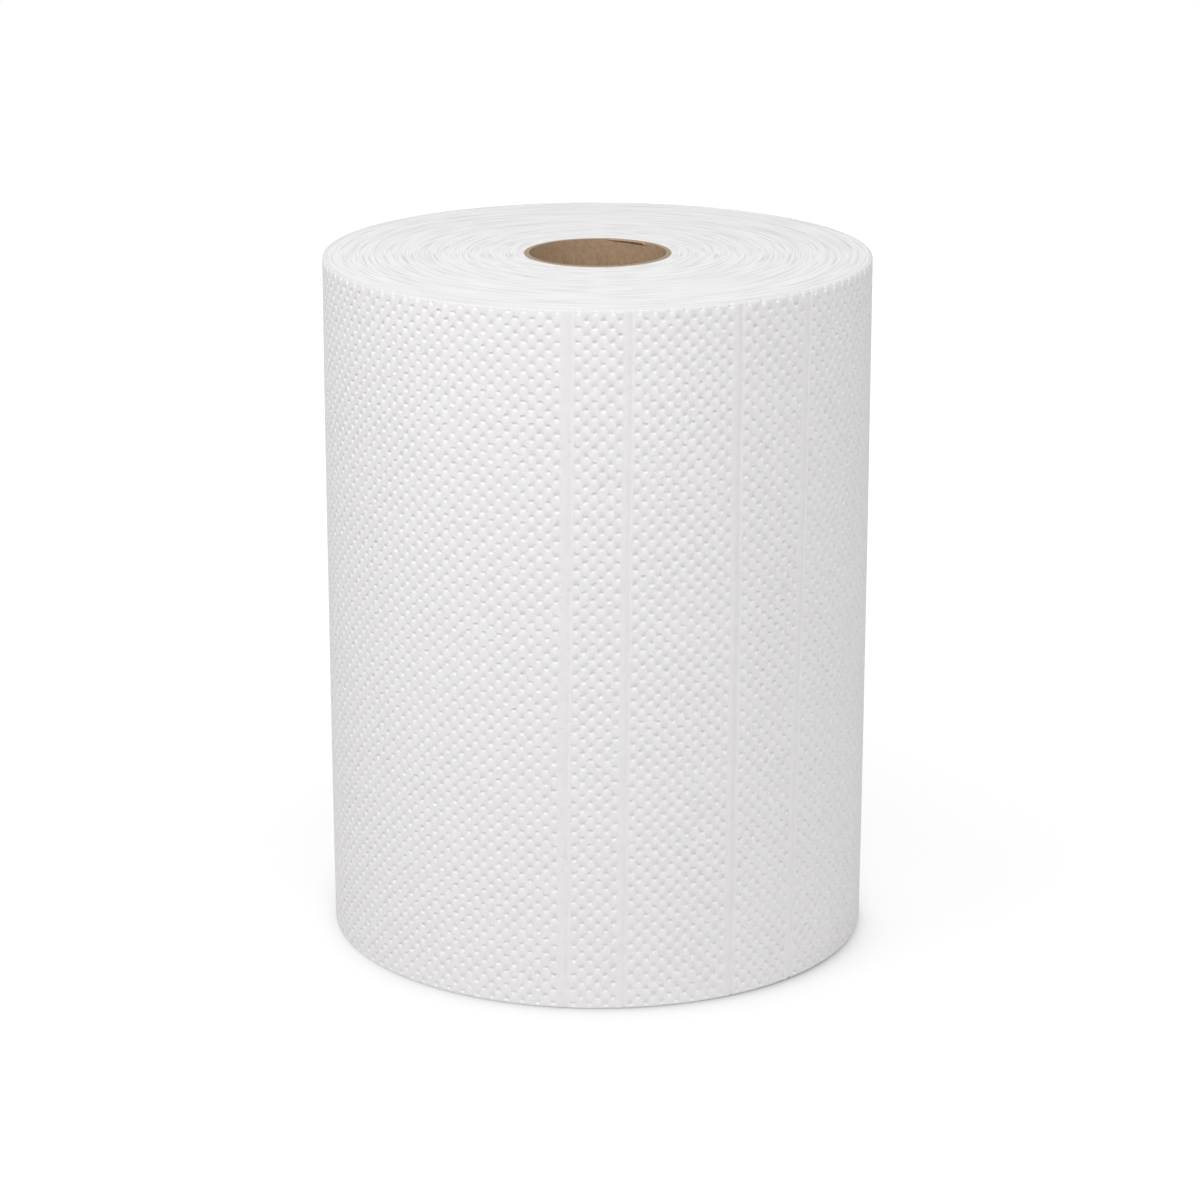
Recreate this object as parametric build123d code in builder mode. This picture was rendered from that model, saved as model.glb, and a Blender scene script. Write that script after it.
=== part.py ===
from build123d import *
import math
import os

# Paper towel roll standing on its cut end, in millimetres.
# The origin is the centre of the foot, +Z runs up the core, and -Y is the front.

# The sheet, which is as wide as the roll is tall
sheet_width = 203.0
sheet_thickness = 0.4

# The wound roll
roll_radius = 79.7
rim_bevel = 0.6

# The spiral lines on the head and the foot, where one bundle of turns meets the next
turn_lines = 10
turn_line_depth = 0.45
first_line_margin = 1.6
last_line_margin = 1.2

# The pressed lines up the outer turn: arc from the front, at the foot and at the head
pressed_lines = [(-9.9, -8.1), (6.8, 8.7), (39.2, 40.5), (61.2, 65.7)]
pressed_line_depth = 0.4
pressed_line_width = 1.4

# The core, two plies of kraft board wound in a spiral
bore_radius = 19.95
ply_thickness = 0.7
ply_width = 75.0
ply_gap_width = 0.8
ply_gap_depth = 0.3
ply_gap_start = 230.0
glue_line = 0.05

# The torn piece of the inner ply at the head, turned from the back towards +X
tear_angle = 26.5
tear_length = 10.0
tear_height = 1.4
# Its edge, in shares of that length and height
tear_edge = [(-0.5, -0.2), (-0.15, -0.7), (0.3, -1.0), (0.5, -0.9)]

core_radius = bore_radius + 2 * ply_thickness
paper_bore_radius = core_radius + glue_line


def half_turns(step):
    # A spiral is drawn as half turns about two centres. The +X half turns about the core's
    # axis, and the -X half about a centre one step further back, with a radius one step longer.
    return [(Axis((0, back, 0), (0, 0, way)), back) for back, way in ((0, -1), (step, 1))]


# Paper roll
first_line = paper_bore_radius + first_line_margin
last_line = roll_radius - rim_bevel - last_line_margin
line_pitch = (last_line - first_line) / turn_lines

with BuildPart() as paper_roll:
    # The wound body, whose loose edge is a step of one sheet at the back
    for axis, back in half_turns(sheet_thickness / 2):
        with BuildSketch(Plane.YZ):
            with Locations((back, 0)):
                Rectangle(roll_radius + back, sheet_width, align=(Align.MIN, Align.MIN))
            chamfer(vertices().group_by(Axis.X)[-1], length=rim_bevel)
        revolve(axis=axis, revolution_arc=180)

    # The bore that the core fills
    with BuildSketch():
        Circle(paper_bore_radius)
    extrude(amount=sheet_width, mode=Mode.SUBTRACT)

    # The turn lines, a V in section
    for axis, back in half_turns(line_pitch / 2):
        with BuildSketch(Plane.YZ):
            for turn in range(turn_lines):
                reach = back + first_line + turn * line_pitch + back
                with Locations((reach, 0), (reach, sheet_width)):
                    RegularPolygon(turn_line_depth, 4)
        revolve(axis=axis, revolution_arc=180, mode=Mode.SUBTRACT)

    # The pressed lines, each a shallow V that leans a little on its way up
    for foot_arc, head_arc in pressed_lines:
        for height, arc in ((0, foot_arc), (sheet_width, head_arc)):
            facing = math.degrees(arc / roll_radius) - 90
            with BuildSketch(Plane.XY.offset(height).rotated((0, 0, facing))):
                with BuildLine():
                    Polyline(
                        (roll_radius - pressed_line_depth, 0),
                        (roll_radius + pressed_line_depth, pressed_line_width),
                        (roll_radius + pressed_line_depth, -pressed_line_width),
                        close=True,
                    )
                make_face()
        loft(ruled=True, mode=Mode.SUBTRACT)

paper_roll.part.label = "paper_roll"


# Torn piece of the inner ply, which the core's head lacks
head_back = Plane(origin=(0, 0, sheet_width), x_dir=(1, 0, 0), z_dir=(0, -1, 0))

with BuildPart() as torn_piece:
    with BuildSketch(head_back.rotated((0, 0, -tear_angle))):
        with BuildLine():
            Polyline(
                (-tear_length / 2, tear_height),
                *[(along * tear_length, up * tear_height) for along, up in tear_edge],
                (tear_length / 2, tear_height),
                close=True,
            )
        make_face()
    extrude(amount=-core_radius)
    with BuildSketch(Plane.XY.offset(sheet_width - tear_height)):
        Circle(bore_radius + ply_thickness)
    extrude(amount=2 * tear_height, mode=Mode.INTERSECT)


# Gap between the edges of the inner ply, which winds up the bore and runs out past both ends
bore_round = 2 * math.pi * bore_radius
ply_pitch = bore_round * math.tan(math.asin(ply_width / bore_round))
run_out = 2 * ply_gap_width

with BuildPart() as ply_gap:
    with BuildLine() as ply_edge:
        Helix(ply_pitch, sheet_width + 2 * run_out, bore_radius, center=(0, 0, -run_out))
    with BuildSketch(Plane(ply_edge.line @ 0, x_dir=(1, 0, 0), z_dir=ply_edge.line % 0)):
        Rectangle(2 * ply_gap_depth, ply_gap_width)
    sweep(path=ply_edge.line, is_frenet=True)


# Cardboard core, cut level with the paper
with BuildPart() as cardboard_core:
    with BuildSketch():
        Circle(core_radius)
        Circle(bore_radius, mode=Mode.SUBTRACT)
    extrude(amount=sheet_width)
    add(ply_gap.part, rotation=(0, 0, ply_gap_start), mode=Mode.SUBTRACT)
    add(torn_piece.part, mode=Mode.SUBTRACT)

cardboard_core.part.label = "cardboard_core"


os.makedirs("parts", exist_ok=True)
export_step(cardboard_core.part, "parts/cardboard_core.step")
export_step(paper_roll.part, "parts/paper_roll.step")
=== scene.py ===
import bmesh
import bpy
import math
import random
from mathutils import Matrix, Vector, noise


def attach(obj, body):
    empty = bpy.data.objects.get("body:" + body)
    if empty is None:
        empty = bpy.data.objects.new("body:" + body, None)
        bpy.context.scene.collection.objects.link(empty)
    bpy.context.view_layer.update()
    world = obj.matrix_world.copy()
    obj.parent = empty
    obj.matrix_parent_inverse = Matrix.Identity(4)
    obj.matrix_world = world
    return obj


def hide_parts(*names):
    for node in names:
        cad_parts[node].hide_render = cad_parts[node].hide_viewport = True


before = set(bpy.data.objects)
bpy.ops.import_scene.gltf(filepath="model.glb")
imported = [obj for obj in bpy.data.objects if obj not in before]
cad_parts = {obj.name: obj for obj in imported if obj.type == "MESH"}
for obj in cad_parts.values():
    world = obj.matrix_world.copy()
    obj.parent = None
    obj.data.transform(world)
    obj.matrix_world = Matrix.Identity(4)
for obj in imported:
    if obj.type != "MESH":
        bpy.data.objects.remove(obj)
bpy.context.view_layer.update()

mm = 0.001
rollHeight = 203 * mm
rollRadius = 79.7 * mm
sheetStep = 0.4 * mm      # the loose edge at the back stands this far off the turn below
sameSpot = 0.01 * mm      # points nearer than this are one
sameSeam = 0.001 * mm     # and so are these, where a spun or wound shape closes on itself
sharpAngle = 50           # degrees that faces turn before the edge between them is sharp


# Helpers for modelling by hand

def startPiece():         # the frame's nodes load selected, so all is deselected first
    if bpy.context.object and bpy.context.object.mode != "OBJECT":
        bpy.ops.object.mode_set(mode="OBJECT")
    bpy.ops.object.select_all(action="DESELECT")


def choose(*pieces):      # the last one is the active one
    startPiece()
    for piece in pieces:
        piece.select_set(True)
    bpy.context.view_layer.objects.active = pieces[-1]


def settle():             # the place goes into the mesh and the object back to the origin
    bpy.ops.object.transform_apply(location=True, rotation=True, scale=True)


def pick(kind, test):     # selects the vertices, edges or faces that pass a test
    bpy.ops.mesh.select_mode(type=kind)
    bpy.ops.mesh.select_all(action="DESELECT")
    form = bmesh.from_edit_mesh(bpy.context.object.data)
    for part in {"VERT": form.verts, "EDGE": form.edges, "FACE": form.faces}[kind]:
        if test(part):
            part.select_set(True)
    bmesh.update_edit_mesh(bpy.context.object.data)


def stretchEdges(move):   # extrudes the picked edges and moves what is new
    bpy.ops.mesh.extrude_edges_indiv()
    bpy.ops.transform.translate(value=move)


def middle(edge):
    return (edge.verts[0].co + edge.verts[1].co) / 2


def copyOf(piece, name):
    twin = piece.copy()
    twin.data = piece.data.copy()
    twin.name = twin.data.name = name
    bpy.context.collection.objects.link(twin)
    return twin


def repeat(piece, count, step):
    choose(piece)
    row = piece.modifiers.new("row", "ARRAY")
    row.count = count
    row.use_relative_offset = False
    row.use_constant_offset = True
    row.constant_offset_displace = step
    row.use_merge_vertices = True
    row.merge_threshold = sameSpot
    bpy.ops.object.modifier_apply(modifier=row.name)


def joined(pieces, name):
    choose(*pieces)
    bpy.ops.object.join()
    whole = bpy.context.object
    whole.name = whole.data.name = name
    bpy.ops.object.mode_set(mode="EDIT")
    bpy.ops.mesh.select_all(action="SELECT")
    bpy.ops.mesh.remove_doubles(threshold=sameSpot)
    bpy.ops.object.mode_set(mode="OBJECT")
    return whole


# The outline of a standing rectangle, left in edit mode to be spun or wound about the axis
def makeSection(name, inner, outer, centre, height, softEdge=0):
    startPiece()
    bpy.ops.mesh.primitive_plane_add(size=1, rotation=(math.pi / 2, 0, 0),
                                     location=((inner + outer) / 2, 0, centre))
    bpy.ops.transform.resize(value=(outer - inner, 1, height))
    settle()
    section = bpy.context.object
    section.name = section.data.name = name
    bpy.ops.object.mode_set(mode="EDIT")
    bpy.ops.mesh.select_all(action="SELECT")
    if softEdge:
        bpy.ops.mesh.bevel(offset=softEdge, segments=2, affect="VERTICES")
        bpy.ops.mesh.select_all(action="SELECT")
    bpy.ops.mesh.delete(type="ONLY_FACE")
    return section


def spinRound(spokes):
    bpy.ops.mesh.select_all(action="SELECT")
    bpy.ops.mesh.spin(steps=spokes, angle=2 * math.pi, center=(0, 0, 0), axis=(0, 0, 1))
    bpy.ops.mesh.select_all(action="SELECT")
    bpy.ops.mesh.remove_doubles(threshold=sameSeam)
    bpy.ops.object.mode_set(mode="OBJECT")


def turnRound(degrees):   # with no window, a positive value turns clockwise from above
    bpy.ops.transform.rotate(value=math.radians(degrees), orient_axis="Z",
                             center_override=(0, 0, 0))
    settle()


def smoothstep(low, high, value):
    share = min(max((value - low) / (high - low), 0.0), 1.0)
    return share * share * (3 - 2 * share)


def finishPiece(piece, node, material):
    choose(piece)
    bpy.ops.object.mode_set(mode="EDIT")
    bpy.ops.mesh.select_all(action="SELECT")
    bpy.ops.mesh.normals_make_consistent(inside=False)
    bpy.ops.object.mode_set(mode="OBJECT")
    bpy.ops.object.shade_smooth_by_angle(angle=math.radians(sharpAngle))
    piece.data.materials.clear()
    piece.data.materials.append(material)
    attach(piece, "root")
    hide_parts(node)
    piece.data.calc_loop_triangles()
    print(f"  {piece.name}: {len(piece.data.loop_triangles)} triangles")


# Materials

def colour(code):         # an sRGB hex code as linear light
    shares = [int(code[place:place + 2], 16) / 255 for place in (1, 3, 5)]
    return [s / 12.92 if s <= 0.04045 else ((s + 0.055) / 1.055) ** 2.4 for s in shares] + [1.0]


def newMaterial(name):
    material = bpy.data.materials.new(name)
    material.use_nodes = True
    material.node_tree.nodes.clear()
    return material, material.node_tree


def addNode(tree, kind, settings=None, values=None, links=None):
    node = tree.nodes.new(kind)
    for name, value in (settings or {}).items():
        setattr(node, name, value)
    for name, value in (values or {}).items():
        node.inputs[name].default_value = value
    for name, source in (links or {}).items():
        tree.links.new(source, node.inputs[name])
    return node


# Embossed tissue: two plies of creped cellulose, bleached white. It is matt and slightly furry,
# and its crepe folds stand up the roll as fine streaks.
tissueLook = {
    "colour": "#F2F0F1",
    "thinColour": "#EFEDEE",      # where the fibres are thinner
    "clump": 3.0 * mm,            # cloudy patches of fibre
    "clumpLevels": (0.35, 0.6),   # the noise's levels for thin fibre and for thick
    "pressedLitColour": "#F6F5F5",   # painted light: the pressed dots are painted a little paler, which lifts the shade in them
    "cutColour": "#E6E5E5",       # the sawn rim at the head
    "cutDepth": (0.6 * mm, 0.1 * mm),     # below the head: where it starts, and where it is full
    "crepeWidth": 0.55 * mm,      # a real fold is about 0.2 mm wide, which is too fine to show
    "crepeLength": 3.5 * mm,
    "crepeHeight": 0.012 * mm,
    "fibre": 0.4 * mm,
    "fibreHeight": 0.008 * mm,
    # The dots of the turn below show through here and there
    "ghostPitch": (2.36 * mm, 4.22 * mm),
    "ghostPhase": 0.9,
    "ghostLevels": (0.7, 1.0),    # how high in the waves a dot starts, and is full
    "ghostHeight": 0.09 * mm,
    "patch": 13 * mm,
    "patchLevels": (0.5, 0.62),
}


def makeTissue():
    look = tissueLook
    material, tree = newMaterial("embossed_tissue")
    place = addNode(tree, "ShaderNodeTexCoord").outputs["Object"]
    spot = addNode(tree, "ShaderNodeSeparateXYZ", links={"Vector": place})

    # The colour, from the clumps of fibre to the pressed dots, painted paler as painted light,
    # and the sawn rim
    clumps = addNode(tree, "ShaderNodeTexNoise",
                     values={"Scale": 1 / look["clump"], "Detail": 3.0}, links={"Vector": place})
    low, high = look["clumpLevels"]
    spread = addNode(tree, "ShaderNodeMapRange", values={"From Min": low, "From Max": high},
                     links={"Value": clumps.outputs["Fac"]})
    tint = addNode(tree, "ShaderNodeMix", {"data_type": "RGBA"},
                   {"A": colour(look["thinColour"]), "B": colour(look["colour"])},
                   {"Factor": spread.outputs["Result"]})
    # Painted light: the pressed dots are painted paler, which lifts the shade that falls in them
    pressed = addNode(tree, "ShaderNodeAttribute", {"attribute_name": "pressed"})
    dotsPaintedLit = addNode(tree, "ShaderNodeMix", {"data_type": "RGBA"},
                    {"B": colour(look["pressedLitColour"])},
                    {"Factor": pressed.outputs["Fac"], "A": tint.outputs["Result"]})
    start, full = look["cutDepth"]
    rim = addNode(tree, "ShaderNodeMapRange", {"interpolation_type": "SMOOTHSTEP"},
                  {"From Min": rollHeight - start, "From Max": rollHeight - full},
                  {"Value": spot.outputs["Z"]})
    cut = addNode(tree, "ShaderNodeMix", {"data_type": "RGBA"}, {"B": colour(look["cutColour"])},
                  {"Factor": rim.outputs["Result"], "A": dotsPaintedLit.outputs["Result"]})

    # The crepe's folds and the fibres on them
    narrow = 1 / look["crepeWidth"]
    folded = addNode(tree, "ShaderNodeMapping",
                     values={"Scale": (narrow, narrow, 1 / look["crepeLength"])},
                     links={"Vector": place})
    crepe = addNode(tree, "ShaderNodeTexNoise", values={"Scale": 1.0, "Detail": 2.0},
                    links={"Vector": folded.outputs["Vector"]})
    fibres = addNode(tree, "ShaderNodeTexNoise",
                     values={"Scale": 1 / look["fibre"], "Detail": 2.0}, links={"Vector": place})
    crepeBump = addNode(tree, "ShaderNodeBump", values={"Distance": look["crepeHeight"]},
                        links={"Height": crepe.outputs["Fac"]})
    fibreBump = addNode(tree, "ShaderNodeBump", values={"Distance": look["fibreHeight"]},
                        links={"Height": fibres.outputs["Fac"],
                               "Normal": crepeBump.outputs["Normal"]})

    # Two waves, one round the roll and one up it, meet in a field of staggered dots
    toBack = addNode(tree, "ShaderNodeMath", {"operation": "MULTIPLY"}, {1: -1.0},
                     {0: spot.outputs["Y"]})
    turned = addNode(tree, "ShaderNodeMath", {"operation": "ARCTAN2"},
                     links={0: spot.outputs["X"], 1: toBack.outputs["Value"]})
    across, up = look["ghostPitch"]
    waves = []
    for source, beat in ((turned.outputs["Value"], math.pi * rollRadius / across),
                         (spot.outputs["Z"], 2 * math.pi / up)):
        phase = addNode(tree, "ShaderNodeMath", {"operation": "MULTIPLY_ADD"},
                        {1: beat, 2: look["ghostPhase"]}, {0: source})
        waves.append(addNode(tree, "ShaderNodeMath", {"operation": "COSINE"},
                             links={0: phase.outputs["Value"]}))
    lattice = addNode(tree, "ShaderNodeMath", {"operation": "MULTIPLY"},
                      links={0: waves[0].outputs["Value"], 1: waves[1].outputs["Value"]})
    low, high = look["ghostLevels"]
    dots = addNode(tree, "ShaderNodeMapRange", {"interpolation_type": "SMOOTHSTEP"},
                   {"From Min": low, "From Max": high}, {"Value": lattice.outputs["Value"]})
    patches = addNode(tree, "ShaderNodeTexNoise",
                      values={"Scale": 1 / look["patch"], "Detail": 1.0}, links={"Vector": place})
    low, high = look["patchLevels"]
    where = addNode(tree, "ShaderNodeMapRange", values={"From Min": low, "From Max": high},
                    links={"Value": patches.outputs["Fac"]})
    ghosts = addNode(tree, "ShaderNodeMath", {"operation": "MULTIPLY"},
                     links={0: dots.outputs["Result"], 1: where.outputs["Result"]})
    ghostBump = addNode(tree, "ShaderNodeBump", {"invert": True},
                        {"Distance": look["ghostHeight"]},
                        {"Height": ghosts.outputs["Value"],
                         "Normal": fibreBump.outputs["Normal"]})
    shader = addNode(tree, "ShaderNodeBsdfPrincipled", None,
                     {"Roughness": 0.95, "IOR": 1.4, "Specular IOR Level": 0.2,
                      "Sheen Weight": 0.1, "Sheen Roughness": 0.6},
                     {"Base Color": cut.outputs["Result"], "Normal": ghostBump.outputs["Normal"]})
    addNode(tree, "ShaderNodeOutputMaterial", links={"Surface": shader.outputs["BSDF"]})
    return material


# Sawn tissue: the edges of many turns, cut by a log saw. Each turn shows as a thin line between
# two pale ones; the thin line is painted shade in the gap between turns.
sawnLook = {
    "colour": "#F4F3F3",
    "gapShadeColour": "#DAD8D9",       # painted shade in the gaps between turns
    "turn": 0.32 * mm,
    "turnDrift": 3.0,             # how much the turns change on their way round
    "turnLevels": (0.3, 0.5),     # the noise's levels for a shaded gap and for a turn
    "turnHeight": 0.04 * mm,
    "bundle": 0.85 * mm,          # turns that the saw pulled up together
    "bundleWander": 6.0,          # radians of a bundle's wave that the streaks shift it by
    # how far the bundles' wave darkens its lanes towards the painted gap shade
    "bundleTint": 0.25,
    "streak": 0.6 * mm,
    "streakDrift": 4.0,
    "streakHeight": 0.02 * mm,
}


def makeSawnTissue():
    look = sawnLook
    material, tree = newMaterial("sawn_tissue_edges")
    place = addNode(tree, "ShaderNodeTexCoord").outputs["Object"]
    flat = addNode(tree, "ShaderNodeVectorMath", {"operation": "MULTIPLY"}, {1: (1, 1, 0)},
                   {0: place})
    reach = addNode(tree, "ShaderNodeVectorMath", {"operation": "LENGTH"},
                    links={0: flat.outputs["Vector"]}).outputs["Value"]
    way = addNode(tree, "ShaderNodeVectorMath", {"operation": "NORMALIZE"},
                  links={0: flat.outputs["Vector"]})

    def ringNoise(width, drift, detail):      # long arcs round the core, which drift a little
        across = addNode(tree, "ShaderNodeMath", {"operation": "MULTIPLY"}, {1: 1 / width},
                         {0: reach})
        sideways = addNode(tree, "ShaderNodeVectorMath", {"operation": "SCALE"},
                           {"Scale": drift}, {0: way.outputs["Vector"]})
        ends = addNode(tree, "ShaderNodeSeparateXYZ",
                       links={"Vector": sideways.outputs["Vector"]})
        spot = addNode(tree, "ShaderNodeCombineXYZ",
                       links={"X": across.outputs["Value"], "Y": ends.outputs["X"],
                              "Z": ends.outputs["Y"]})
        return addNode(tree, "ShaderNodeTexNoise", values={"Scale": 1.0, "Detail": detail},
                       links={"Vector": spot.outputs["Vector"]}).outputs["Fac"]

    fine = ringNoise(look["turn"], look["turnDrift"], 0.0)
    streaks = ringNoise(look["streak"], look["streakDrift"], 1.0)
    low, high = look["turnLevels"]
    gapShade = addNode(tree, "ShaderNodeMapRange", values={"From Min": low, "From Max": high},
                   links={"Value": fine})
    wander = addNode(tree, "ShaderNodeMath", {"operation": "MULTIPLY"},
                     {1: look["bundleWander"]}, {0: streaks})
    phase = addNode(tree, "ShaderNodeMath", {"operation": "MULTIPLY_ADD"},
                    {1: 2 * math.pi / look["bundle"]},
                    {0: reach, 2: wander.outputs["Value"]})
    wave = addNode(tree, "ShaderNodeMath", {"operation": "SINE"},
                   links={0: phase.outputs["Value"]})
    bundles = addNode(tree, "ShaderNodeMapRange",
                      values={"From Min": -1.0, "From Max": 1.0,
                              "To Min": 1 - look["bundleTint"], "To Max": 1.0},
                      links={"Value": wave.outputs["Value"]})
    paleness = addNode(tree, "ShaderNodeMath", {"operation": "MULTIPLY"},
                       links={0: gapShade.outputs["Result"], 1: bundles.outputs["Result"]})
    # Painted shade: the gaps between turns, and the dark lanes of the bundles' wave, are painted
    # darker
    tint = addNode(tree, "ShaderNodeMix", {"data_type": "RGBA"},
                   {"A": colour(look["gapShadeColour"]), "B": colour(look["colour"])},
                   {"Factor": paleness.outputs["Value"]})
    fineBump = addNode(tree, "ShaderNodeBump", values={"Distance": look["turnHeight"]},
                       links={"Height": fine})
    streakBump = addNode(tree, "ShaderNodeBump", values={"Distance": look["streakHeight"]},
                         links={"Height": streaks, "Normal": fineBump.outputs["Normal"]})
    shader = addNode(tree, "ShaderNodeBsdfPrincipled", None,
                     {"Roughness": 0.95, "IOR": 1.4, "Specular IOR Level": 0.2},
                     {"Base Color": tint.outputs["Result"],
                      "Normal": streakBump.outputs["Normal"]})
    addNode(tree, "ShaderNodeOutputMaterial", links={"Surface": shader.outputs["BSDF"]})
    return material


# Kraft board: unbleached recycled fibre, rolled flat. Brown and matt, with darker and lighter
# fibres lying along the way the ply is wound.
kraftLook = {
    "colour": "#C6AA8D",
    "darkColour": "#A78B70",
    "patch": 1.2 * mm,
    "patchLevels": (0.3, 0.7),
    "paleFibre": "#C9B092",
    "fibre": 0.3 * mm,
    "fibreLength": 0.45 * mm,
    "fibreLevels": (0.58, 0.7),
    "fibreHeight": 0.04 * mm,
    "rimColour": "#A89984",       # the sawn rim is greyer, with paper dust in it
    "rimDepth": (0.12 * mm, 0.02 * mm),   # below the head: where it starts, and where it is full
}


def makeKraft():
    look = kraftLook
    material, tree = newMaterial("kraft_core_board")
    place = addNode(tree, "ShaderNodeTexCoord").outputs["Object"]
    patches = addNode(tree, "ShaderNodeTexNoise",
                      values={"Scale": 1 / look["patch"], "Detail": 6.0, "Roughness": 0.7},
                      links={"Vector": place})
    low, high = look["patchLevels"]
    mottled = addNode(tree, "ShaderNodeMapRange", values={"From Min": low, "From Max": high},
                      links={"Value": patches.outputs["Fac"]})
    base = addNode(tree, "ShaderNodeMix", {"data_type": "RGBA"},
                   {"A": colour(look["darkColour"]), "B": colour(look["colour"])},
                   {"Factor": mottled.outputs["Result"]})
    around = 1 / look["fibreLength"]
    stretched = addNode(tree, "ShaderNodeMapping",
                        values={"Scale": (around, around, 1 / look["fibre"])},
                        links={"Vector": place})
    fibres = addNode(tree, "ShaderNodeTexNoise", values={"Scale": 1.0, "Detail": 3.0},
                     links={"Vector": stretched.outputs["Vector"]})
    low, high = look["fibreLevels"]
    pale = addNode(tree, "ShaderNodeMapRange", values={"From Min": low, "From Max": high},
                   links={"Value": fibres.outputs["Fac"]})
    flecked = addNode(tree, "ShaderNodeMix", {"data_type": "RGBA"},
                      {"B": colour(look["paleFibre"])},
                      {"Factor": pale.outputs["Result"], "A": base.outputs["Result"]})
    spot = addNode(tree, "ShaderNodeSeparateXYZ", links={"Vector": place})
    start, full = look["rimDepth"]
    rim = addNode(tree, "ShaderNodeMapRange",
                  values={"From Min": rollHeight - start, "From Max": rollHeight - full},
                  links={"Value": spot.outputs["Z"]})
    cut = addNode(tree, "ShaderNodeMix", {"data_type": "RGBA"}, {"B": colour(look["rimColour"])},
                  {"Factor": rim.outputs["Result"], "A": flecked.outputs["Result"]})
    bump = addNode(tree, "ShaderNodeBump", values={"Distance": look["fibreHeight"]},
                   links={"Height": fibres.outputs["Fac"]})
    shader = addNode(tree, "ShaderNodeBsdfPrincipled", None,
                     {"Roughness": 0.85, "IOR": 1.45, "Specular IOR Level": 0.3},
                     {"Base Color": cut.outputs["Result"], "Normal": bump.outputs["Normal"]})
    addNode(tree, "ShaderNodeOutputMaterial", links={"Surface": shader.outputs["BSDF"]})
    return material


tissue = makeTissue()
sawnTissue = makeSawnTissue()
kraft = makeKraft()
print("materials made")


# The outer turn: embossed dots in fields, with a pressed line between each field and the next
wrap = {
    "dotPitch": 2.325 * mm,       # from one column of dots to the next
    "rowPitch": 4.27 * mm,        # from dot to dot; the next column is half a pitch higher
    "firstRow": 1.3 * mm,         # height of the lowest whole dot
    "dotSides": 8,
    # A dot's floor, wall and mouth: radius, depth, and how far up the roll its middle is
    "dotRings": [(0.28 * mm, 0.52 * mm, 0.10 * mm), (0.60 * mm, 0.24 * mm, 0.05 * mm),
                 (0.90 * mm, 0.0, 0.0)],
    "dotStretch": (1.08, 0.94, 1),        # a dot is a little wider than it is tall
    "floorSag": 0.05 * mm,
    "columns": [103, 6, 13, 9, 80],       # from the loose edge, between the lines, and back to it
    "lift": [0.0, 0.7, 1.0, -0.9, 0.5],   # mm that each field's rows are higher than the first's
    # How the dots differ by chance: mm off their places, across and up, and how deep they are
    "stray": (0.07, 0.09),
    "depths": (0.85, 1.12),
    "seed": 4,
    "patches": (0.3, 9, 18 * mm),         # fainter patches: how faint, columns wide, and height
    "rimDots": (0.5, 2.5 * mm),           # how deep dots are at a rim, and how far up that ends
    # How deep the dots are at the front and at the sides, and how far that is from the middle
    "strength": (0.95, 1.33),
    "strengthReach": (25 * mm, 80 * mm),
    "strengthMiddle": -8 * mm,
    # How far each dot leans to the right, as a share of its depth: far left, and in the middle
    "lean": (-0.75, 0.35),
    "leanReach": (-100 * mm, 110 * mm),   # where the far left ends, and how far the change takes
    "upright": (100 * mm, 160 * mm),      # from where the dots lean less, and from where upright
    # The lines: mm from the front at the foot and at the head, and mm left free of dots
    "lines": [(-9.9, -8.1), (6.8, 8.7), (39.2, 40.5), (61.2, 65.7)],
    "bandWidths": [3.37, 2.62, 3.17, 3.17],
    "lineProfile": [0, 0.02, 0.03, 0.01, -0.03, -0.11, -0.21, -0.25, 0],      # mm, across a band
    "lineStrength": [1.1, 1.05, 1.7, 1.6],
    "lineFade": (0.85, 0.3, 14 * mm),     # its mean depth, how much that varies, over what length
    "rims": (0.6 * mm, 0.7 * mm),         # the sawn edge is rubbed round, at the foot and head
    "rimAngles": (30, 60, 90),
    "shell": 1.2 * mm,            # the outer turns are made as one piece
    "skin": 0.3 * mm,             # a panel's end face starts this deep, so that it can't show
    "belly": 0.25 * mm,           # the roll is this much slimmer at its ends
    # Slow changes over the sheet: how much, over what length round the roll and up it, and the
    # slice of the noise. The dots sway round it and drift up it, and the sheet swells
    "sway": (0.3 * mm, 30 * mm, 45 * mm, 7),
    "drift": (0.9 * mm, 55 * mm, 80 * mm, 11),
    "swell": (0.06 * mm, 60 * mm, 60 * mm, 2),
    "calmEnds": 22 * mm,          # the sway and the drift fade this near to the ends
    "calmEdge": 15 * mm,          # and the sway to the loose edge, which is straight
    "panels": {"wrap_back_left": (0, 52), "wrap_front_left": (52, 104), "wrap_front": (104, 135),
               "wrap_front_right": (135, 175), "wrap_back_right": (175, 215)},
}
dotPitch, rowPitch = wrap["dotPitch"], wrap["rowPitch"]
rowCount = math.ceil(rollHeight / rowPitch) + 2
lowestRow = wrap["firstRow"] - rowPitch


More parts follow.
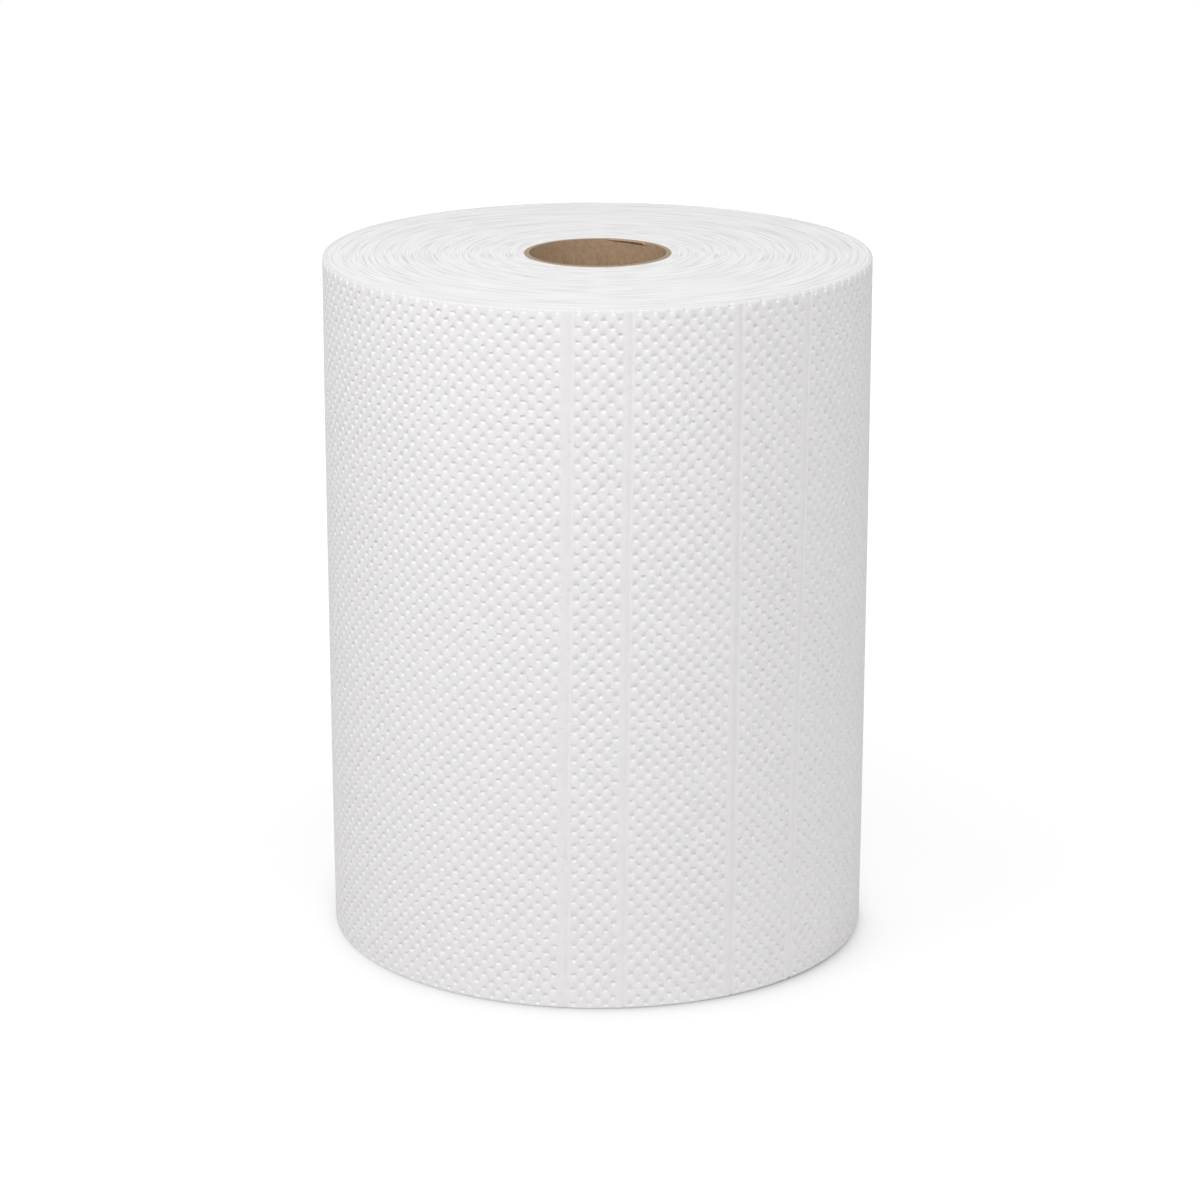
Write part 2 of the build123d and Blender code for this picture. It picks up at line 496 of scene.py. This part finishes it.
def makeCell():           # one dot in its share of the sheet, lying flat with its outside up
    startPiece()
    centre = Vector((dotPitch / 2, lowestRow, 0))
    (radius, depth, up), *walls = wrap["dotRings"]
    bpy.ops.mesh.primitive_circle_add(vertices=wrap["dotSides"], radius=radius,
                                      fill_type="TRIFAN",
                                      location=centre + Vector((0, up, -depth)))
    bpy.ops.transform.resize(value=wrap["dotStretch"])
    settle()
    cell = bpy.context.object
    bpy.ops.object.mode_set(mode="EDIT")
    pick("VERT", lambda vert: (vert.co.xy - centre.xy).length < radius / 2)
    bpy.ops.transform.translate(value=(0, 0, -wrap["floorSag"]))
    pick("EDGE", lambda edge: edge.is_boundary)
    for wider, higher, nextUp in walls:
        stretchEdges((0, nextUp - up, depth - higher))
        bpy.ops.transform.resize(value=(wider / radius, wider / radius, 1),
                                 center_override=centre + Vector((0, nextUp, 0)))
        radius, depth, up = wider, higher, nextUp
    stretchEdges((0, 0, 0))
    form = bmesh.from_edit_mesh(cell.data)
    for vert in form.verts:       # the last ring becomes the cell's rectangle
        if vert.select:
            for axis, reach in ((0, dotPitch / 2), (1, rowPitch / 2)):
                away = vert.co[axis] - centre[axis]
                if abs(away) > sameSpot:
                    vert.co[axis] = centre[axis] + math.copysign(reach, away)
    bmesh.update_edit_mesh(cell.data)
    bpy.ops.object.mode_set(mode="OBJECT")
    return cell


def makeColumnPair():
    even = makeCell()
    repeat(even, rowCount, (0, rowPitch, 0))
    odd = copyOf(even, "odd_column")
    odd.location = (dotPitch, -rowPitch / 2, 0)
    choose(odd)
    settle()
    return joined([odd, even], "column_pair")


def makeBand():           # a strip with no dots and a pressed line up its middle
    startPiece()
    profile = wrap["lineProfile"]
    length = (rowCount - 0.5) * rowPitch
    bpy.ops.mesh.primitive_grid_add(x_subdivisions=len(profile) - 1,
                                    y_subdivisions=2 * rowCount - 1, size=1)
    band = bpy.context.object
    bpy.ops.transform.resize(value=(dotPitch, length, 1))
    foot = lowestRow - rowPitch / 2
    bpy.ops.transform.translate(value=(dotPitch / 2, foot + length / 2, 0))
    settle()
    for vert in band.data.vertices:
        vert.co.z = profile[round(vert.co.x / dotPitch * (len(profile) - 1))] * mm
    band.name = "band"
    return band


def layField(pair, first, count):
    field = copyOf(pair, "field")
    repeat(field, math.ceil(count / 2), (2 * dotPitch, 0, 0))
    bpy.ops.object.mode_set(mode="EDIT")
    pick("FACE", lambda face: face.calc_center_median().x > count * dotPitch)
    bpy.ops.mesh.delete(type="FACE")
    bpy.ops.object.mode_set(mode="OBJECT")
    field.location.x = first * dotPitch
    choose(field)
    settle()
    return field


# Each field's edges, as a column number with its arc from the front at the foot and at the head
halfRound = math.pi * rollRadius
looseEdge = -halfRound - math.pi * sheetStep / 2
fieldEdges = [(0, looseEdge, looseEdge)]
fieldLifts = [(0, wrap["lift"][0])]
for number, (line, width) in enumerate(zip(wrap["lines"], wrap["bandWidths"])):
    column = fieldEdges[-1][0] + wrap["columns"][number]
    for side, lift in ((-1, wrap["lift"][number]), (1, wrap["lift"][number + 1])):
        fieldEdges.append((column, *[(arc + side * width / 2) * mm for arc in line]))
        fieldLifts.append((column, lift))
        column += 1
lastColumn = fieldEdges[-1][0] + wrap["columns"][-1]
fieldEdges.append((lastColumn, halfRound, halfRound))
fieldLifts.append((lastColumn, wrap["lift"][-1]))


def betweenEdges(column):     # the stretch that a column lies in, and its share along it
    for number in range(len(fieldEdges) - 1):
        start, end = fieldEdges[number][0], fieldEdges[number + 1][0]
        if column <= end or number == len(fieldEdges) - 2:
            return number, (column - start) / (end - start)


def arcAt(column, height):
    number, share = betweenEdges(column)
    up = height / rollHeight
    (_, footA, headA), (_, footB, headB) = fieldEdges[number], fieldEdges[number + 1]
    return (footA + (headA - footA) * up) * (1 - share) + (footB + (headB - footB) * up) * share


def liftAt(column):
    number, share = betweenEdges(column)
    return (fieldLifts[number][1] * (1 - share) + fieldLifts[number + 1][1] * share) * mm


# How far each dot is off its place, and how deep it is
dotDraw = random.Random(wrap["seed"])
dotTraits = {}
strayRight, strayUp = wrap["stray"]
for column in range(lastColumn):
    for row in range(-2, rowCount + 2):
        dotTraits[column, row] = (dotDraw.gauss(0, strayRight), dotDraw.gauss(0, strayUp),
                                  dotDraw.uniform(*wrap["depths"]))


def pressingAt(arc):      # how deep the dots are pressed there
    front, side = wrap["strength"]
    return front + (side - front) * smoothstep(*wrap["strengthReach"],
                                               abs(arc - wrap["strengthMiddle"]))


def leanAt(arc):          # and how far they lean
    (left, ahead), (start, length) = wrap["lean"], wrap["leanReach"]
    lean = left + (ahead - left) * min(max((arc - start) / length, 0), 1)
    return lean * (1 - smoothstep(*wrap["upright"], abs(arc)))


def varyDots(panel):      # also notes which spots are pressed, where the tissue's colour paints light into the dots
    pressed = panel.data.attributes.new("pressed", "FLOAT", "POINT")
    lineMean, lineChange, lineLength = wrap["lineFade"]
    faintness, patchColumns, patchHeight = wrap["patches"]
    rimDepth, rimReach = wrap["rimDots"]
    for vert in panel.data.vertices:
        spot = vert.co
        column = spot.x / dotPitch
        number, _ = betweenEdges(column)
        if number % 2:            # a pressed line, which fades in and out a little on its way up
            slow = noise.noise(Vector((number * 7, spot.y / lineLength, 0)))
            spot.z *= (lineMean + lineChange * slow) * wrap["lineStrength"][number // 2]
            continue
        if spot.z > -sameSpot:
            continue
        pressed.data[vert.index].value = 1.0
        inside = int(column)
        odd = (inside - fieldEdges[number][0]) % 2
        row = math.floor((spot.y - lowestRow) / rowPitch + 0.5 + 0.5 * odd)
        right, up, depth = dotTraits[inside, min(max(row, -2), rowCount + 1)]
        slow = noise.noise(Vector((column / patchColumns, spot.y / patchHeight, 3)))
        faint = 1 + faintness * slow
        edge = smoothstep(0, rimReach, min(spot.y, rollHeight - spot.y))
        edge = rimDepth + (1 - rimDepth) * edge
        arc = arcAt(column, spot.y)
        spot.z *= depth * faint * edge * pressingAt(arc)
        spot.x += right * mm - leanAt(arc) * spot.z
        spot.y += up * mm


def cutEnds(panel):
    bpy.ops.object.mode_set(mode="EDIT")
    footRim, headRim = wrap["rims"]
    for level, way in ((footRim, -1), (rollHeight - headRim, 1)):
        bpy.ops.mesh.select_all(action="SELECT")
        bpy.ops.mesh.bisect(plane_co=(0, level, 0), plane_no=(0, way, 0), clear_outer=True,
                            threshold=0.02 * mm)
    bpy.ops.object.mode_set(mode="OBJECT")


def closeShell(panel):    # rounds both rims and closes the panel behind
    footRim, headRim = wrap["rims"]
    inside = -wrap["shell"]
    nearLevel, nearEnd, nearSurface = 0.03 * mm, 0.3 * mm, -0.05 * mm

    bpy.ops.object.mode_set(mode="EDIT")
    for level, way, rim in ((footRim, -1, footRim), (rollHeight - headRim, 1, headRim)):
        pick("EDGE", lambda edge: edge.is_boundary
             and max(abs(vert.co.y - level) for vert in edge.verts) < nearLevel)
        turned = 0
        for angle in wrap["rimAngles"]:
            before, turned = turned, math.radians(angle)
            out = rim * (math.sin(turned) - math.sin(before))
            drop = rim * (math.cos(turned) - math.cos(before))
            stretchEdges((0, way * out, drop))
        stretchEdges((0, 0, 0))
        form = bmesh.from_edit_mesh(panel.data)
        for vert in form.verts:
            if vert.select:
                vert.co.z = inside
        bmesh.update_edit_mesh(panel.data)
    pick("EDGE", lambda edge: edge.is_boundary
         and max(vert.co.z for vert in edge.verts) < inside + sameSpot)
    bpy.ops.mesh.bridge_edge_loops()
    for reach in (min, max):
        end = reach(vert.co.x for vert in panel.data.vertices)
        pick("EDGE", lambda edge: edge.is_boundary and abs(middle(edge).x - end) < nearEnd
             and min(vert.co.z for vert in edge.verts) > nearSurface)
        stretchEdges((0, 0, -wrap["skin"]))
        pick("EDGE", lambda edge: edge.is_boundary and abs(middle(edge).x - end) < nearEnd)
        bpy.ops.mesh.edge_face_add()
    bpy.ops.object.mode_set(mode="OBJECT")


def slowChange(name, arc, height):        # the sheet's sway, drift or swell
    size, lengthRound, lengthUp, noiseSlice = wrap[name]
    return size * noise.noise(Vector((arc / lengthRound, height / lengthUp, noiseSlice)))


def wrapRound(panel):     # lays the flat panel round the roll, in a spiral about two centres
    for vert in panel.data.vertices:
        flat = vert.co.copy()
        column, height = flat.x / dotPitch, flat.y
        arc = arcAt(column, height)
        free = smoothstep(0, wrap["calmEnds"], min(height, rollHeight - height))
        sway, drift = slowChange("sway", arc, height), slowChange("drift", arc, height)
        arc += sway * free * smoothstep(0, wrap["calmEdge"], halfRound - abs(arc))
        height += (liftAt(column) + drift) * free
        ends = (2 * height / rollHeight - 1) ** 2
        step = sheetStep / 2 if arc < 0 else 0
        reach = rollRadius + step
        turn = arc / reach
        out = reach + flat.z - wrap["belly"] * ends + slowChange("swell", arc, height)
        vert.co = (out * math.sin(turn), step - out * math.cos(turn), height)


pair = makeColumnPair()
band = makeBand()
for name, (first, last) in wrap["panels"].items():
    strips = []
    for number in range(len(fieldEdges) - 1):
        start = max(first, fieldEdges[number][0])
        end = min(last, fieldEdges[number + 1][0])
        if start >= end:
            continue
        if number % 2:
            strip = copyOf(band, "line")
            strip.location.x = start * dotPitch
            choose(strip)
            settle()
        else:
            strip = layField(pair, start, end - start)
        strips.append(strip)
    panel = joined(strips, name)
    varyDots(panel)
    cutEnds(panel)
    closeShell(panel)
    wrapRound(panel)
    finishPiece(panel, "paper_roll", tissue)
for scrap in (pair, band):
    bpy.data.objects.remove(scrap)
print("outer turn wrapped")


# The sawn ends: turns wound in a spiral, which stand a little proud of each other
woundFrom, woundTo, headJoint = 21.4 * mm, rollRadius - wrap["shell"], 51.4 * mm
sawnEnd = {
    "slab": 3.0 * mm,
    # Each disc's inner and outer radius, the cuts that make its rings, its spokes, its level, the
    # way it faces and the slice of its noise. The head is made as two
    "discs": {"end_head_inner": (woundFrom, headJoint, (14, 14), 300, rollHeight, 1, 5.0),
              "end_head_outer": (headJoint, woundTo, (13, 14), 300, rollHeight, 1, 5.0),
              "end_foot": (woundFrom, woundTo, (11, 11), 240, 0.0, -1, 23.0)},
    # Bundles of turns: their width, how fast they change round the core, and depth
    "ridges": [(0.36 * mm, 2.2, 0.12 * mm), (0.7 * mm, 2.0, 0.05 * mm),
               (6.0 * mm, 0.8, 0.04 * mm)],
    "firstLine": 1.65 * mm,   # wider gaps between bundles: from the core to the first of them
    "linePitch": 5.49 * mm,
    "lineDepth": 0.09 * mm,
    "lineWidth": 0.35 * mm,
    "lineFade": (0.6, 0.4, 2),    # a gap's mean depth, how much it varies, and how fast
    "levelFrom": 0.985,       # from this share of the way out it is level, to meet the outer turn
}


def makeEnd(name, near, far, cuts, spokes, level, way, seed):
    slab, width = sawnEnd["slab"], woundTo - woundFrom
    disc = makeSection(name, near, far, level - way * slab / 2, slab)
    for count in cuts:
        pick("EDGE", lambda edge: abs(middle(edge).z - level) < sameSpot)
        bpy.ops.mesh.subdivide(number_cuts=count)
    spinRound(spokes)
    pitch = sawnEnd["linePitch"]
    mean, change, pace = sawnEnd["lineFade"]
    for vert in disc.data.vertices:
        if abs(vert.co.z - level) > sameSpot:
            continue
        reach = vert.co.xy.length
        turn = math.atan2(vert.co.y, vert.co.x)
        right, back = math.cos(turn), math.sin(turn)
        drop = 0.0
        for ridge, drift, height in sawnEnd["ridges"]:
            spot = Vector((reach / ridge, drift * right, drift * back + seed))
            drop += height * (0.5 + 0.5 * noise.noise(spot))
        lines = (reach - woundFrom - sawnEnd["firstLine"]) / pitch - way * turn / (2 * math.pi)
        away = abs(lines - round(lines)) * pitch
        slow = noise.noise(Vector((pace * right, pace * back, round(lines) + seed)))
        fade = mean + change * slow
        drop += sawnEnd["lineDepth"] * fade * max(0.0, 1 - away / sawnEnd["lineWidth"])
        share = (reach - woundFrom) / width
        vert.co.z = level - way * drop * (1 - smoothstep(sawnEnd["levelFrom"], 1.0, share))
    for vert in disc.data.vertices:       # the same two centres as the outer turn
        if vert.co.x <= sameSpot:
            reach = vert.co.xy.length
            wider = (reach - woundFrom) / width * sheetStep / 2
            vert.co.x *= 1 + wider / reach
            vert.co.y = vert.co.y * (1 + wider / reach) + wider
    finishPiece(disc, "paper_roll", sawnTissue)


for name, settings in sawnEnd["discs"].items():
    makeEnd(name, *settings)
print("sawn ends made")


# The core: two plies of board, each wound in a spiral. The inner one has a narrow gap between its
# edges and a torn place at the head.
core = {
    "boreRadius": 19.95 * mm,
    "ply": 0.7 * mm,
    "clearance": 0.02 * mm,   # between the plies
    "spokes": 240,
    "softEdge": 0.12 * mm,    # the outer ply's sawn edges are rubbed
    "pitch": 93.5 * mm,       # climb of the inner ply in one turn
    "gap": 1.0 * mm,          # its gap, measured up the bore
    "gapStart": 230.0,        # degrees, where the gap meets the foot
    # The torn place: its middle in degrees from the back towards +X, its length and height, its
    # outline in shares of these, and how far its cutter starts inside the bore, goes outwards
    # and stands above the head
    "tearAngle": 26.5,
    "tearLength": 10.0 * mm,
    "tearHeight": 1.4 * mm,
    "tearOutline": [(-0.5, 0.0), (-0.42, -0.3), (-0.3, -0.42), (-0.15, -0.6), (0.02, -0.62),
                    (0.15, -0.75), (0.3, -0.85), (0.42, -0.8), (0.5, -0.9)],
    "tearCutter": (3 * mm, 4 * mm, 1.0 * mm),
    # The torn scrap of ply, which the rim still holds
    "lipEnds": (9.0, 47.0),   # degrees from the back towards +X
    "lipCells": (36, 5),
    "lipRoot": 0.45,          # it starts this share of a ply outside the bore
    "lipReach": 0.55 * mm,    # and leans this far into it
    "lipTaper": 0.4,          # the smaller, the blunter its ends
    "lipRagged": (0.5, 1.15),
    "lipSeed": 8,
    "lipSink": 0.01 * mm,     # under the level of the head
    "lipDroop": 0.22 * mm,
    "lipHang": (1.6, 0.8, 0.95),      # it droops more at its far end: how much, from and to where
    "lipThickness": 0.22 * mm,
}


def makeOuterPly():
    inner, outer = core["boreRadius"] + core["ply"], core["boreRadius"] + 2 * core["ply"]
    ply = makeSection("core_outer_ply", inner, outer, rollHeight / 2, rollHeight,
                      core["softEdge"])
    spinRound(core["spokes"])
    finishPiece(ply, "cardboard_core", kraft)


def makeTearCutter():     # a jagged wedge at the torn place
    (inset, depth, above), outline = core["tearCutter"], core["tearOutline"]
    startPiece()
    bpy.ops.mesh.primitive_grid_add(x_subdivisions=len(outline) - 1, y_subdivisions=1, size=1)
    wedge = bpy.context.object
    bpy.ops.object.mode_set(mode="EDIT")
    form = bmesh.from_edit_mesh(wedge.data)
    for vert in form.verts:
        along, down = outline[round((vert.co.x + 0.5) * (len(outline) - 1))]
        top = vert.co.y > 0
        vert.co = (along * core["tearLength"], core["boreRadius"] - inset,
                   rollHeight + (above if top else down * core["tearHeight"]))
    bmesh.update_edit_mesh(wedge.data)
    bpy.ops.mesh.select_all(action="SELECT")
    bpy.ops.mesh.extrude_region_move(TRANSFORM_OT_translate={"value": (0, depth, 0)})
    bpy.ops.mesh.select_all(action="SELECT")
    bpy.ops.mesh.normals_make_consistent(inside=False)
    bpy.ops.object.mode_set(mode="OBJECT")
    turnRound(core["tearAngle"])
    return wedge


def makeInnerPly():
    inner, outer = core["boreRadius"], core["boreRadius"] + core["ply"] - core["clearance"]
    strip = core["pitch"] - core["gap"]
    ply = makeSection("core_inner_ply", inner, outer, core["gap"] + strip / 2 - core["pitch"],
                      strip)
    bpy.ops.object.mode_set(mode="OBJECT")
    winding = ply.modifiers.new("winding", "SCREW")
    winding.axis = "Z"
    winding.angle = 2 * math.pi
    winding.screw_offset = core["pitch"]
    winding.iterations = math.ceil(rollHeight / core["pitch"]) + 2
    winding.steps = winding.render_steps = core["spokes"]
    winding.use_merge_vertices = True
    winding.merge_threshold = sameSeam
    bpy.ops.object.modifier_apply(modifier=winding.name)
    turnRound(-core["gapStart"])
    bpy.ops.object.mode_set(mode="EDIT")
    for level, way in ((0, -1), (rollHeight, 1)):
        bpy.ops.mesh.select_all(action="SELECT")
        bpy.ops.mesh.bisect(plane_co=(0, 0, level), plane_no=(0, 0, way), clear_outer=True,
                            use_fill=True, threshold=0.002 * mm)
    bpy.ops.object.mode_set(mode="OBJECT")
    wedge = makeTearCutter()
    choose(ply)
    tear = ply.modifiers.new("tear", "BOOLEAN")
    tear.operation = "DIFFERENCE"
    tear.object = wedge
    bpy.ops.object.modifier_apply(modifier=tear.name)
    bpy.data.objects.remove(wedge)
    finishPiece(ply, "cardboard_core", kraft)


def makeTornLip():        # the scrap that leans over the torn place
    start, end = core["lipEnds"]
    cells, rows = core["lipCells"]
    root = core["lipRoot"] * core["ply"]
    hang, hangFrom, hangTo = core["lipHang"]
    draw = random.Random(core["lipSeed"])
    startPiece()
    bpy.ops.mesh.primitive_grid_add(x_subdivisions=cells, y_subdivisions=rows, size=1)
    lip = bpy.context.object
    lip.name = lip.data.name = "core_torn_lip"
    ragged = [draw.uniform(*core["lipRagged"]) for _ in range(cells + 1)]
    for vert in lip.data.vertices:
        along, inward = vert.co.x + 0.5, vert.co.y + 0.5
        azimuth = math.radians(90 - start - (end - start) * along)
        taper = math.sin(math.pi * min(max(along, 0.0), 1.0)) ** core["lipTaper"]
        width = taper * ragged[round(along * cells)]
        reach = core["boreRadius"] + root - inward * (root + core["lipReach"] * width)
        droop = core["lipDroop"] * inward ** 2 * (1 + hang * smoothstep(hangFrom, hangTo, along))
        vert.co = (reach * math.cos(azimuth), reach * math.sin(azimuth),
                   rollHeight - core["lipSink"] - droop)
    choose(lip)
    board = lip.modifiers.new("board", "SOLIDIFY")
    board.thickness = core["lipThickness"]
    board.offset = 1.0 if lip.data.polygons[0].normal.z < 0 else -1.0
    bpy.ops.object.modifier_apply(modifier=board.name)
    finishPiece(lip, "cardboard_core", kraft)


makeOuterPly()
makeInnerPly()
makeTornLip()
print("core made")


# The studio: a white floor, four soft lamps and even light from all round
studio = {
    "floorRadius": 1.3,
    "floorColour": "#E8E8E8",
    "white": 1.09,            # strength of the white that the camera sees
    # The share of that white, and how far from the middle: by the roll, and far off
    "glow": (0.76, 1.0),
    "glowReach": (0.12, 0.35),
    # How dark the floor is where the roll touches it: in front and behind, and more along a line
    # through the roll that lies this many degrees to the right of the front
    "frontShade": 0.38,
    "sideShade": 0.36,
    "sideWay": 57.0,
    "sidePower": 4.0,         # the higher, the narrower that part is
    "contactReach": 4.0 * mm,
    "contactPower": -2.0,     # how fast the shade fades
    "skyColour": "#FFFFFF",
    "skyStrength": 0.453,
    # Each lamp's place, its size and its power
    "lamps": {"key_lamp": ((-0.48, -0.45, 0.91), 0.4, 3.15),
              "front_lamp": ((0.055, -0.714, 1.063), 0.6, 4.15),
              "side_lamp": ((1.117, -0.22, 0.728), 0.9, 1.65),
              "back_lamp": ((0.0, 1.2, 0.22), 0.8, 4.5)},
}


def makeStudioPaper():
    material, tree = newMaterial("studio_paper")
    place = addNode(tree, "ShaderNodeTexCoord").outputs["Object"]
    reach = addNode(tree, "ShaderNodeVectorMath", {"operation": "LENGTH"},
                    links={0: place}).outputs["Value"]
    way = addNode(tree, "ShaderNodeVectorMath", {"operation": "NORMALIZE"},
                  links={0: place}).outputs["Vector"]

    # What the camera, a gloss or a clear piece sees is mostly plain white
    rays = addNode(tree, "ShaderNodeLightPath")
    seen = rays.outputs["Is Camera Ray"]
    for kind in ("Is Glossy Ray", "Is Transmission Ray"):
        seen = addNode(tree, "ShaderNodeMath", {"operation": "ADD", "use_clamp": True},
                       links={0: seen, 1: rays.outputs[kind]}).outputs["Value"]
    (glowNear, glowFar), (near, far) = studio["glow"], studio["glowReach"]
    share = addNode(tree, "ShaderNodeMapRange",
                    values={"From Min": near, "From Max": far, "To Min": glowNear,
                            "To Max": glowFar},
                    links={"Value": reach})
    glowing = addNode(tree, "ShaderNodeMath", {"operation": "MULTIPLY"},
                      links={0: seen, 1: share.outputs["Result"]})

    # The contact shade fades with the distance from the roll and changes round it
    away = addNode(tree, "ShaderNodeMapRange", {"clamp": False},
                   {"From Min": rollRadius, "From Max": rollRadius + studio["contactReach"],
                    "To Min": 1.0, "To Max": 2.0}, {"Value": reach})
    nearness = addNode(tree, "ShaderNodeMath", {"operation": "POWER"},
                       {1: studio["contactPower"]}, {0: away.outputs["Result"]})
    front = addNode(tree, "ShaderNodeVectorMath", {"operation": "DOT_PRODUCT"},
                    {1: (0, -1, 0)}, {0: way})
    ahead = addNode(tree, "ShaderNodeMath", {"operation": "ABSOLUTE"},
                    links={0: front.outputs["Value"]})
    ahead = addNode(tree, "ShaderNodeMath", {"operation": "MULTIPLY"},
                    {1: studio["frontShade"]}, {0: ahead.outputs["Value"]})
    facing = math.radians(studio["sideWay"])
    side = addNode(tree, "ShaderNodeVectorMath", {"operation": "DOT_PRODUCT"},
                   {1: (math.sin(facing), -math.cos(facing), 0)}, {0: way})
    aside = addNode(tree, "ShaderNodeMath", {"operation": "POWER"},
                    {1: studio["sidePower"]}, {0: side.outputs["Value"]})
    depth = addNode(tree, "ShaderNodeMath", {"operation": "MULTIPLY_ADD"},
                    {1: studio["sideShade"]},
                    {0: aside.outputs["Value"], 2: ahead.outputs["Value"]})
    shade = addNode(tree, "ShaderNodeMath", {"operation": "MULTIPLY"},
                    links={0: nearness.outputs["Value"], 1: depth.outputs["Value"]})
    light = addNode(tree, "ShaderNodeMath", {"operation": "SUBTRACT", "use_clamp": True},
                    {0: 1.0}, {1: shade.outputs["Value"]})
    glow = addNode(tree, "ShaderNodeEmission", None, {"Strength": studio["white"]},
                   {"Color": light.outputs["Value"]})
    paper = addNode(tree, "ShaderNodeBsdfDiffuse", None,
                    {"Color": colour(studio["floorColour"])})
    both = addNode(tree, "ShaderNodeMixShader",
                   links={"Fac": glowing.outputs["Value"], 1: paper.outputs["BSDF"],
                          2: glow.outputs["Emission"]})
    addNode(tree, "ShaderNodeOutputMaterial", links={"Surface": both.outputs["Shader"]})
    return material


startPiece()
bpy.ops.mesh.primitive_circle_add(vertices=64, radius=studio["floorRadius"], fill_type="NGON")
floor = bpy.context.object
floor.name = floor.data.name = "studio_floor"
floor.data.materials.append(makeStudioPaper())

# The camera sees a white sky, and the roll is lit by a dimmer one
world = bpy.data.worlds.new("studio_light")
bpy.context.scene.world = world
world.use_nodes = True
tree = world.node_tree
tree.nodes.clear()
rays = addNode(tree, "ShaderNodeLightPath")
level = addNode(tree, "ShaderNodeMix", {"data_type": "FLOAT"},
                {"A": studio["skyStrength"], "B": 1.0}, {"Factor": rays.outputs["Is Camera Ray"]})
sky = addNode(tree, "ShaderNodeBackground", None, {"Color": colour(studio["skyColour"])},
              {"Strength": level.outputs["Result"]})
addNode(tree, "ShaderNodeOutputWorld", links={"Surface": sky.outputs["Background"]})

for name, (place, size, power) in studio["lamps"].items():
    lampData = bpy.data.lights.new(name, "AREA")
    lampData.shape = "DISK"
    lampData.size = size
    lampData.energy = power
    lamp = bpy.data.objects.new(name, lampData)
    lamp.location = place
    aim = Vector((0, 0, rollHeight / 2)) - lamp.location
    lamp.rotation_euler = aim.to_track_quat("-Z", "Y").to_euler()
    lamp.visible_camera = False
    bpy.context.collection.objects.link(lamp)

# The camera stands in front, looking down on the roll
camera = {
    "place": (0, -1.06056, 0.41346),
    "tilt": 73.429,           # degrees up from straight down
    "lens": 111.5,
    "sensor": 36,
    "shift": 0.0019,          # the roll stands a little left of the middle
    "nearest": 0.01,
}
cameraData = bpy.data.cameras.new("camera")
cameraData.lens = camera["lens"]
cameraData.sensor_width = camera["sensor"]
cameraData.shift_x = camera["shift"]
cameraData.clip_start = camera["nearest"]
viewer = bpy.data.objects.new("camera", cameraData)
viewer.location = camera["place"]
viewer.rotation_euler = (math.radians(camera["tilt"]), 0, 0)
bpy.context.collection.objects.link(viewer)
bpy.context.scene.camera = viewer
bpy.context.scene.view_settings.view_transform = "Standard"
print("studio set")
